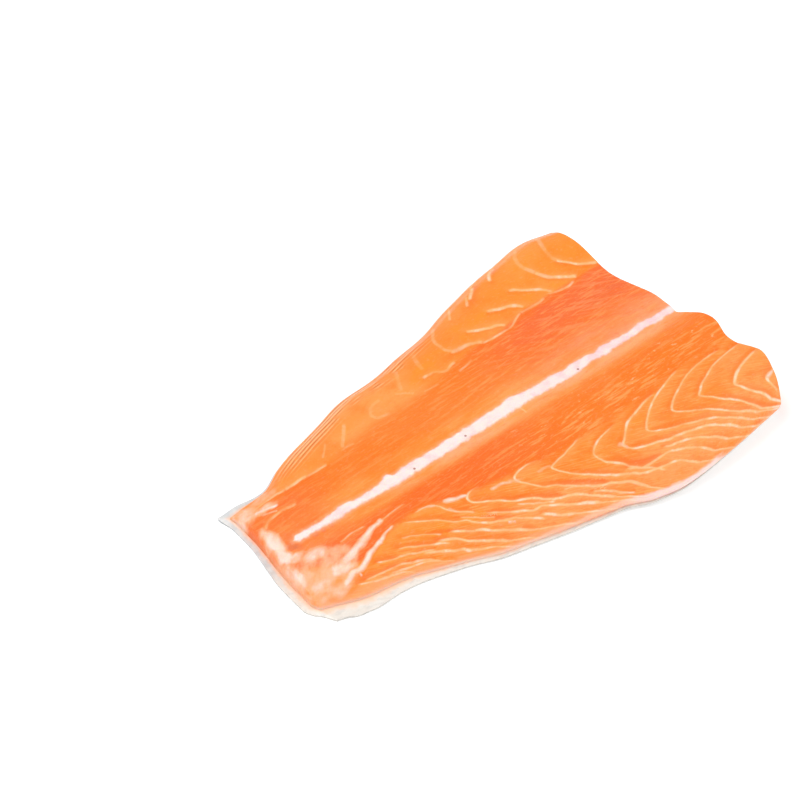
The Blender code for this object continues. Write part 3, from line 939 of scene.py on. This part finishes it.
def hazes(make, along, side):
    """Pale hazes beside the centre line: the near one partly a thin film over the meat and partly painted
    reflection of the soft light, the far one towards the cut end a painted pink reflection.
    """
    cloud = make.ease(make.grain(0.012, (2.5, 1, 1), seed=7.0), 0.35, 0.62)
    near = make.times(make.ease(side, -0.012, -0.006), make.ease(side, -0.002, -0.005), cloud)
    near = make.times(near, make.ease(along, 0.045, 0.085))
    make.lay(PEACH_HAZE, near, 0.75)
    # Painted pink reflection of the soft light over the far channel towards the cut end.
    far = make.times(make.ease(side, 0.024, 0.004), make.ease(side, 0.0, 0.002))
    far = make.times(far, make.plus(0.4, make.times(cloud, 0.6)), make.ease(along, 0.120, 0.200))
    make.lay(PINK_REFLECTION, far, 0.80)


def edge_lines(make, along, side, edge):
    """Thin dark and pale lines beside the far edge of the tail half, which follow the edge."""
    bend = make.sway(2.2, 0.012, (2, 1, 1), seed=17.0)
    wave = make.work("SINE", make.plus(make.times(edge, 2.9), make.times(bend, 2.9)))
    broken = make.ease(make.grain(0.007, (1.8, 1, 1), detail=2.0, seed=18.0), 0.36, 0.52)
    where = make.times(make.ease(edge, 13.0, 7.0), make.ease(side, 0.020, 0.030))
    where = make.times(where, make.ease(along, 0.145, 0.105), broken, make.ease(along, 0.026, 0.040))
    make.lay(FAT_LINE, make.ease(wave, 0.25, 0.95), where, 0.85)
    make.lay(BROWN_EDGE, make.ease(wave, -0.35, -0.95), where, 0.70)


def drawn_lines(make):
    """The thin fat lines. Beside each, the deeper orange on the side towards the spine and the paler peach
    on the other side are partly the flakes' own colour and partly painted shade and painted light; the
    red-orange nearest the line is a painted shadow line. Gives back their share.
    """
    tone_and_shade = make.mark("tone_and_shade")
    # Painted shade on the spine side of each line and painted light on the other side, partly the flakes'
    # own colour.
    make.lay(DEEP_ORANGE, make.ease(tone_and_shade, 0.10, 0.60), 0.66)
    make.lay(RED_ORANGE, make.ease(tone_and_shade, 0.50, 0.85), 0.30)
    make.lay(PEACH_ORANGE, make.ease(tone_and_shade, -0.08, -0.55), 0.45)
    waver = make.grain(0.006, seed=8.0)
    share = 0.0
    for k in LINE_SETS:
        gap, off, wide, fat = (make.mark(name + k) for name in ("gap_", "off_", "wide_", "fat_"))
        half = make.times(wide, make.plus(make.times(waver, 1.1), 0.30))
        outer = make.plus(half, 0.12, make.times(wide, 0.5))
        centred = make.ease(make.size(off), outer, make.times(half, 0.45))
        close = make.ease(gap, make.plus(wide, 0.8), make.plus(wide, 0.4))
        share = make.work("MAXIMUM", make.times(centred, close, fat), share)
        make.lay(STRAND_PALE, make.ease(gap, make.plus(wide, 1.2), wide), fat, 0.26)
    share = make.times(share, make.plus(0.45, make.times(make.ease(waver, 0.28, 0.55), 0.55)))
    line_colour = make.coat(FAT_LINE, make.ease(waver, 0.50, 0.66), PALE_FAT)
    make.lay(line_colour, share, 0.90)
    return share


def flesh_finish():
    """Moist raw salmon: flakes of orange flesh between fat lines, a pale centre line and torn film."""
    make = Finish("raw_salmon_flesh")
    named = ("along", "side", "edge", "depth", "fibre")
    along, side, edge, depth, fibre = (make.mark(name) for name in named)
    muscle_colour(make, along, side, fibre)
    hazes(make, along, side)
    strands(make, along, side, fibre, depth)
    edge_lines(make, along, side, edge)
    line = drawn_lines(make)

    grit = make.plus(make.grain(0.0011, (1.6, 1, 1), detail=4.0, seed=19.0), -0.5)
    make.lay(PEACH_HAZE, make.ease(grit, 0.04, 0.24), 0.26)
    make.lay(RED_ORANGE, make.ease(grit, -0.05, -0.24), 0.26)

    film = make.mark("film")
    film_noise = make.sway(1.3, 0.0034, (1.7, 1, 1), detail=6.0, seed=9.0, turn=35)
    film_cloud = make.sway(0.9, 0.0080, seed=24.0)
    torn = make.plus(film, film_noise, film_cloud)
    thin = make.times(make.ease(torn, 0.02, 0.62), make.ease(film, 0.02, 0.40))
    thick = make.times(make.ease(torn, 0.38, 1.15), make.ease(film, 0.30, 0.72))
    make.lay(THIN_FILM, thin, 0.80)
    make.lay(WHITE_FILM, thick, 0.88)

    rim_noise = make.times(make.grain(0.005, (2, 1, 1), detail=4.0, seed=10.0), 3.0)
    rim_width = make.plus(3.6, make.times(make.ease(along, 0.07, 0.02), 3.5))
    rim = make.ease(make.plus(edge, rim_noise), rim_width, 1.6)
    near_rim = make.times(rim, make.ease(side, 0.0, -0.01), make.ease(along, 0.175, 0.110))
    make.lay(THIN_FILM, near_rim, 0.40)
    above_skin = make.plus(make.mark("height"), make.times(rim_noise, 0.5))
    # The near wall's foot is paler: partly the thin edge's own pale colour, partly painted light that
    # lifts the shade of the crease where the flesh meets the skin.
    pale_foot_and_painted_light = make.times(make.ease(above_skin, 3.2, 1.0), make.ease(side, 0.0, -0.01))
    pale_foot_and_painted_light = make.times(pale_foot_and_painted_light, make.ease(along, 0.130, 0.080))
    make.lay(PALE_RIM, pale_foot_and_painted_light, 0.75)
    tail_rim = make.ease(make.plus(along, make.times(rim_noise, 0.0004)), 0.0030, 0.0010)
    make.lay(PEACH_HAZE, tail_rim, 0.70)
    flap_end = make.ease(make.plus(along, make.times(rim_noise, 0.007)), 0.203, 0.195)
    flap = make.times(make.ease(make.plus(depth, rim_noise), 2.6, 4.0), make.ease(side, -0.03, -0.05))
    flap = make.times(flap, flap_end)
    fuller = make.ease(along, 0.130, 0.155)
    make.lay(PALE_RIM, flap, 0.35)
    make.lay(PALE_TISSUE, flap, fuller, 0.80)

    by_skin = make.ease(above_skin, 2.6, 1.0)
    middle = make.ease(make.size(side), 0.034, 0.010)
    make.lay(DARK_MEAT, by_skin, middle, make.ease(along, 0.19, 0.22), 0.75)
    tissue_noise = make.sway(2.2, 0.0030, detail=4.0, seed=12.0)
    sunk = make.times(make.work("MAXIMUM", depth, 0.0), -0.45)
    in_line = make.plus(make.mark("pale_line"), tissue_noise, sunk)
    pinker = make.times(make.ease(along, 0.10, 0.21), 0.14)
    blush = make.plus(make.grain(0.006, seed=13.0), pinker)
    tissue = make.coat(PALE_TISSUE, make.ease(blush, 0.45, 0.72), PINK_TISSUE)
    for centre in LINE_SPOTS:
        spot = spot_share(make, along, side, centre, SPOT_SIZE)
        tissue = make.coat(tissue, make.times(spot, 0.8), BLOOD_SPOT)
    # Painted brown shadow round the pale line's tail end and beside its near edge.
    for centre, size, strength in BROWN_SHADOWS:
        make.lay(SHADOW_BROWN, spot_share(make, along, side, centre, size), strength)
    make.lay(THIN_FILM, make.ease(in_line, -2.4, 0.0), 0.50)
    make.lay(tissue, make.ease(in_line, -0.7, 0.8), 0.96)

    ridges = make.grain(0.0011, (7, 1, 1), detail=4.0, seed=14.0)
    height = make.plus(
        make.times(ridges, make.plus(make.times(fibre, 0.9), 0.35)),
        make.times(make.grain(0.0008, seed=15.0), 0.30),
        make.times(line, 0.45),
        make.times(thick, 0.6),
    )
    make.bump(height, FLESH_BUMP)
    wet = make.grain(0.005, seed=16.0)
    return make.settle(
        base_color=make.colour,
        roughness=make.plus(make.times(wet, 0.22), 0.24),
        subsurface_weight=0.22,
        subsurface_radius=(1.0, 0.30, 0.08),
        subsurface_scale=0.0018,
        specular_ior_level=0.26,
        coat_weight=0.10,
        coat_roughness=0.16,
    )


DARK_BACK = shade(70, 84, 98)
SILVER = shade(190, 196, 200)
WHITE_BELLY = shade(232, 228, 222)
INNER_GREY = shade(202, 204, 206)
INNER_PALE = shade(226, 219, 210)
INNER_PEACH = shade(252, 200, 166)
SCALE_SHEEN = shade(214, 219, 222)
SCALE_GAP = shade(92, 102, 110)
BACK_SPOT = shade(34, 40, 48)
FOLD_GREY = shade(198, 194, 190)
SCALE_SIZE = 0.0027


def scale_rows(make):
    """Rows of overlapping scales: how far from its scale's middle a point lies, and how far tailwards."""
    place = make.scaled_place(SCALE_SIZE, (1, 1, 1), turn=45)
    cells = make.tree.nodes.new("ShaderNodeTexVoronoi")
    cells.voronoi_dimensions = "2D"
    make.feed(cells.inputs["Vector"], place)
    cells.inputs["Scale"].default_value = 1.0
    cells.inputs["Randomness"].default_value = 0.22
    off = make.tree.nodes.new("ShaderNodeVectorMath")
    off.operation = "SUBTRACT"
    make.feed(off.inputs[0], place)
    make.feed(off.inputs[1], cells.outputs["Position"])
    parts = make.tree.nodes.new("ShaderNodeSeparateXYZ")
    make.feed(parts.inputs[0], off.outputs[0])
    return cells.outputs["Distance"], make.work("SUBTRACT", parts.outputs["Y"], parts.outputs["X"])


def skin_finish():
    """Wet scaled skin: dark along the back, silver on the side, white below, and pale inside."""
    make = Finish("salmon_skin")
    side, outer, inwards = (make.mark(name) for name in ("side", "outer", "inwards"))
    drift = make.sway(0.030, 0.020)
    across = make.plus(side, drift)
    make.colour = WHITE_BELLY
    make.lay(SILVER, make.ease(across, -0.055, -0.020))
    make.lay(DARK_BACK, make.ease(across, 0.005, 0.050))
    outwards, tailwards = scale_rows(make)
    make.lay(SCALE_SHEEN, make.ease(tailwards, -0.45, 0.30), 0.45)
    free_edge = make.times(make.ease(outwards, 0.42, 0.60), make.ease(tailwards, -0.15, 0.25))
    make.lay(SCALE_GAP, free_edge, 0.50)
    spots = make.ease(make.grain(0.0052, detail=2.0, seed=8.0), 0.62, 0.67)
    make.lay(BACK_SPOT, spots, make.ease(across, 0.008, 0.026), 0.85)
    side_line = make.ease(make.size(make.plus(side, make.times(drift, 0.06))), 0.0009, 0.0003)
    make.lay(SCALE_GAP, side_line, 0.55)

    mottled = make.ease(make.grain(0.004, detail=4.0, seed=3.0), 0.40, 0.66)
    dim = make.plus(side, make.sway(0.020, 0.008, seed=5.0))
    inner = make.coat(INNER_PALE, make.ease(dim, -0.022, 0.004), INNER_GREY)
    inner = make.coat(inner, make.times(mottled, 0.45), WHITE_BELLY)
    folds = make.ease(make.grain(0.0028, (1.8, 1, 1), detail=5.0, seed=9.0), 0.50, 0.66)
    inner = make.coat(inner, make.times(folds, 0.45), FOLD_GREY)
    stained = make.plus(inwards, make.sway(0.9, 0.004, detail=4.0, seed=6.0))
    inner = make.coat(inner, make.times(make.ease(stained, 0.35, 0.95), 0.85), INNER_PEACH)
    rim_colour = make.coat(make.colour, make.ease(side, -0.015, -0.035), INNER_PALE)
    make.colour = make.coat(inner, outer, rim_colour)
    crumpled = make.times(make.grain(0.0035, (1.6, 1, 1), detail=4.0, seed=7.0), make.rest(outer))
    domed = make.times(make.plus(tailwards, make.times(free_edge, -0.6)), outer, 1.6)
    make.bump(make.plus(domed, make.times(crumpled, 5.0)), SKIN_BUMP)
    return make.settle(
        base_color=make.colour,
        metallic=make.times(outer, make.ease(side, -0.030, -0.010), 0.35),
        roughness=make.plus(make.times(mottled, 0.15), 0.28),
        specular_ior_level=0.5,
        coat_weight=0.3,
        coat_roughness=0.15,
    )


FLOOR_HALF = 3.0
FLOOR_WHITE = (0.90, 0.90, 0.905, 1.0)
FLOOR_GLOW = 0.22


def white_floor():
    """A plain white floor, far wider than the piece."""
    bm = bmesh.new()
    bmesh.ops.create_grid(bm, x_segments=1, y_segments=1, size=FLOOR_HALF)
    mesh = bpy.data.meshes.new("floor")
    bm.to_mesh(mesh)
    bm.free()
    finish = Finish("white_floor")
    finish.settle(base_color=FLOOR_WHITE, roughness=0.8, specular_ior_level=0.2)
    finish.settle(emission_color=FLOOR_WHITE, emission_strength=FLOOR_GLOW)
    mesh.materials.append(finish.material)
    floor = stand("floor", mesh)


def soft_light(name, place, size, power, colour):
    """A wide square lamp at this place, turned to the middle of the piece."""
    lamp = bpy.data.lights.new(name, "AREA")
    lamp.shape = "SQUARE"
    lamp.size = size
    lamp.energy = power
    lamp.color = colour
    holder = stand(name, lamp)
    holder.location = place
    holder.rotation_euler = (-Vector(place)).to_track_quat("-Z", "Y").to_euler()


ROOM_LIGHT = 0.55
KEY_PLACE, KEY_SIZE, KEY_POWER = (-0.55, 0.50, 1.25), 1.1, 13.5
FILL_PLACE, FILL_SIZE, FILL_POWER = (0.5, -0.9, 0.9), 1.3, 8.0


def bright_room():
    """Even white light from all sides."""
    world = bpy.data.worlds.new("bright_room")
    world.use_nodes = True
    sky = world.node_tree.nodes["Background"]
    sky.inputs["Color"].default_value = (1.0, 1.0, 1.0, 1.0)
    sky.inputs["Strength"].default_value = ROOM_LIGHT
    bpy.context.scene.world = world


# The camera stands where it did for the photograph: the aim point lies at the aim pixel.
CAMERA_AZIMUTH = math.radians(-38)
CAMERA_ELEVATION = math.radians(45)
CAMERA_DISTANCE = 0.840
CAMERA_LENS, SENSOR_WIDTH = 85.0, 36.0
AIM_POINT = Vector((0.0064, -0.0064, 0.0120))
AIM_PIXEL = (500, 420)
PICTURE_SIZE = 800


def photo_camera():
    """The camera at the photograph's angle."""
    a, e = CAMERA_AZIMUTH, CAMERA_ELEVATION
    back = Vector((math.sin(a) * math.cos(e), -math.cos(a) * math.cos(e), math.sin(e)))
    right = Vector((math.cos(a), math.sin(a), 0.0))
    up = back.cross(right)
    per_pixel = CAMERA_DISTANCE * SENSOR_WIDTH / CAMERA_LENS / PICTURE_SIZE
    off_right = (AIM_PIXEL[0] - PICTURE_SIZE / 2) * per_pixel
    off_up = (PICTURE_SIZE / 2 - AIM_PIXEL[1]) * per_pixel
    camera = bpy.data.cameras.new("photo_camera")
    camera.lens, camera.sensor_width = CAMERA_LENS, SENSOR_WIDTH
    camera.clip_start = 0.01
    holder = stand("photo_camera", camera)
    place = AIM_POINT + back * CAMERA_DISTANCE - right * off_right - up * off_up
    turn = Matrix((right, up, back)).transposed().to_4x4()
    holder.matrix_world = Matrix.Translation(place) @ turn
    bpy.context.scene.camera = holder


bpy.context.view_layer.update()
piece("salmon_flesh", FLESH_ROWS, FLESH_WALL_RINGS + 2, shape_flesh, flesh_finish(), "flesh")
piece("salmon_skin", SKIN_ROWS, SKIRT_RINGS + 3, shape_skin, skin_finish(), "skin")
white_floor()
bright_room()
soft_light("key_light", KEY_PLACE, KEY_SIZE, KEY_POWER, (1.0, 0.99, 0.97))
soft_light("fill_light", FILL_PLACE, FILL_SIZE, FILL_POWER, (0.98, 0.99, 1.0))
photo_camera()
bpy.context.scene.view_settings.view_transform = "Standard"
